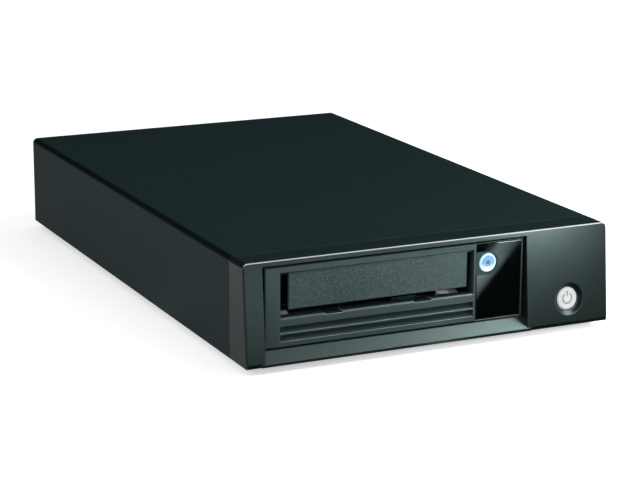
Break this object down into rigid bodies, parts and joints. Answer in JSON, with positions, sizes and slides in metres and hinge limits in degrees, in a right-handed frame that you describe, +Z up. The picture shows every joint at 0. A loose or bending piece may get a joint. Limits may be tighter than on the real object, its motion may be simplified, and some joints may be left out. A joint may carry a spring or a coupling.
{
  "type": "data tape drive",
  "caption": "Desktop data tape drive: a low charcoal steel case with a moulded face, a sprung cartridge door, eject and power buttons, and the loader, reels and head inside.",
  "frame": {"origin": "middle of the footprint, on the surface the feet stand on", "axes": "+X to the right seen from the front, +Y from the face to the back, +Z up"},
  "size_m": [0.213, 0.3408, 0.058],
  "materials": {
    "case_paint": "fine textured charcoal paint",
    "face_plastic": "fine spark-eroded grain",
    "bezel_plastic": "fine grain",
    "door_plastic": "speckled fine grain",
    "smoked_plastic": "polished",
    "dark_plastic": "satin",
    "blue_plastic": "translucent satin",
    "white_plastic": "satin with a grey power mark",
    "foot_rubber": "matt",
    "zinc_steel": "zinc plated",
    "panel_paint": "fine textured charcoal paint",
    "port_steel": "nickel plated",
    "inlet_plastic": "moulded",
    "blade_brass": "nickel-brass",
    "board_green": "solder mask",
    "sink_aluminium": "extruded",
    "ferrite": "ferrite with a taped winding",
    "screw_steel": "zinc plated",
    "pin_steel": "ground",
    "cast_aluminium": "as cast",
    "clear_plastic": "clear",
    "bright_steel": "pressed sheet",
    "white_acetal": "moulded",
    "roller_steel": "ground",
    "carriage_alloy": "anodised",
    "head_ceramic": "lapped ceramic"
  },
  "bodies": {
    "case": {"top_cover": "case_paint", "front_bezel": "face_plastic", "drive_bezel": "bezel_plastic", "gloss_panel": "smoked_plastic", "button_surround": "dark_plastic", "feet": "foot_rubber", "bottom_tray": "zinc_steel", "left_bracket": "zinc_steel", "right_bracket": "zinc_steel", "drive_lid": "zinc_steel", "deck": "zinc_steel", "motor_bracket": "zinc_steel", "rear_panel": "panel_paint", "port_cages": "port_steel", "power_inlet": "inlet_plastic", "fan_frame": "inlet_plastic", "rear_plug": "inlet_plastic", "inlet_blades": "blade_brass", "port_board": "board_green", "supply_board": "board_green", "switch_board": "board_green", "panel_board": "board_green", "drive_board": "board_green", "supply_heat_sinks": "sink_aluminium", "supply_transformer": "ferrite", "case_screws": "screw_steel", "deck_screws": "screw_steel", "hinge_pin": "pin_steel", "roller_posts": "pin_steel", "gear_axle": "pin_steel", "head_frame": "pin_steel", "drive_base": "cast_aluminium", "supply_motor": "cast_aluminium", "take_up_motor": "cast_aluminium", "light_pipes": "clear_plastic", "slot_guides": "bright_steel", "left_guide": "bright_steel", "right_guide": "bright_steel", "head_bridge": "bright_steel", "loader_motor": "bright_steel", "head_motor": "bright_steel"},
    "door": {"cartridge_door": "door_plastic"},
    "eject": {"eject_button": "blue_plastic"},
    "power": {"power_button": "white_plastic"},
    "fan": {"fan_rotor": "inlet_plastic"},
    "tray": {"cartridge_tray": "dark_plastic"},
    "cams": {"left_cam_plate": "bright_steel", "right_cam_plate": "bright_steel", "cam_link": "dark_plastic"},
    "loader_wheel": {"loader_gear": "white_acetal"},
    "motor_shaft": {"motor_pinion": "white_acetal"},
    "supply_spindle": {"supply_chuck": "white_acetal"},
    "take_up_spindle": {"take_up_reel": "white_acetal"},
    "roller_1": {"guide_roller_1": "roller_steel"},
    "roller_2": {"guide_roller_2": "roller_steel"},
    "roller_3": {"guide_roller_3": "roller_steel"},
    "roller_4": {"guide_roller_4": "roller_steel"},
    "head": {"head_carriage": "carriage_alloy", "tape_head": "head_ceramic"},
    "lead_screw": {"head_screw": "pin_steel"}
  },
  "joints": [
    {"name": "door_hinge", "type": "hinge", "parent": "case", "child": "door", "pos_m": [-0.02965, -0.16315, 0.04985], "axis": [1, 0, 0], "range_deg": [0, 90], "stiffness_Nm_per_rad": 0.004, "springref_deg": -17.19},
    {"name": "eject_press", "type": "slide", "parent": "case", "child": "eject", "axis": [0, 1, 0], "range_m": [0, 0.0012], "stiffness_N_per_m": 300},
    {"name": "power_press", "type": "slide", "parent": "case", "child": "power", "axis": [0, 0.996, -0.089], "range_m": [0, 0.0015], "stiffness_N_per_m": 300},
    {"name": "fan_spin", "type": "hinge", "parent": "case", "child": "fan", "pos_m": [-0.064, 0.16635, 0.0277], "axis": [0, 1, 0], "continuous": true},
    {"name": "tray_lower", "type": "slide", "parent": "case", "child": "tray", "axis": [0, 0, -1], "range_m": [0, 0.0035]},
    {"name": "cam_travel", "type": "slide", "parent": "case", "child": "cams", "axis": [0, 1, 0], "range_m": [0, 0.00527]},
    {"name": "loader_gear_turn", "type": "hinge", "parent": "case", "child": "loader_wheel", "pos_m": [-0.01905, -0.10265, 0.03035], "axis": [1, 0, 0], "range_deg": [-71.72, 0]},
    {"name": "motor_shaft_turn", "type": "hinge", "parent": "case", "child": "motor_shaft", "pos_m": [-0.01905, -0.0929, 0.03035], "axis": [1, 0, 0], "range_deg": [0, 143.34]},
    {"name": "supply_spin", "type": "hinge", "parent": "case", "child": "supply_spindle", "pos_m": [-0.02965, -0.09865, 0.0221], "axis": [0, 0, 1], "continuous": true},
    {"name": "take_up_spin", "type": "hinge", "parent": "case", "child": "take_up_spindle", "pos_m": [-0.02965, -0.00465, 0.0221], "axis": [0, 0, 1], "continuous": true},
    {"name": "roller_1_spin", "type": "hinge", "parent": "case", "child": "roller_1", "pos_m": [0.03095, -0.04065, 0.0347], "axis": [0, 0, 1], "continuous": true},
    {"name": "roller_2_spin", "type": "hinge", "parent": "case", "child": "roller_2", "pos_m": [0.04445, -0.03365, 0.0347], "axis": [0, 0, 1], "continuous": true},
    {"name": "roller_3_spin", "type": "hinge", "parent": "case", "child": "roller_3", "pos_m": [0.04445, -0.00065, 0.0347], "axis": [0, 0, 1], "continuous": true},
    {"name": "roller_4_spin", "type": "hinge", "parent": "case", "child": "roller_4", "pos_m": [0.02295, 0.01135, 0.0347], "axis": [0, 0, 1], "continuous": true},
    {"name": "head_shift", "type": "slide", "parent": "case", "child": "head", "axis": [0, 0, 1], "range_m": [-0.002, 0.002]},
    {"name": "lead_screw_turn", "type": "hinge", "parent": "case", "child": "lead_screw", "pos_m": [0.04745, -0.01715, 0.0221], "axis": [0, 0, 1], "range_deg": [-240.2, 240.2]}
  ],
  "couplings": [
    {"joint": "cam_travel", "follows": "tray_lower", "ratio": 1.5},
    {"joint": "loader_gear_turn", "follows": "tray_lower", "rad_per_m": -357.14},
    {"joint": "motor_shaft_turn", "follows": "tray_lower", "rad_per_m": 714.29},
    {"joint": "lead_screw_turn", "follows": "head_shift", "rad_per_m": 2094.4}
  ]
}
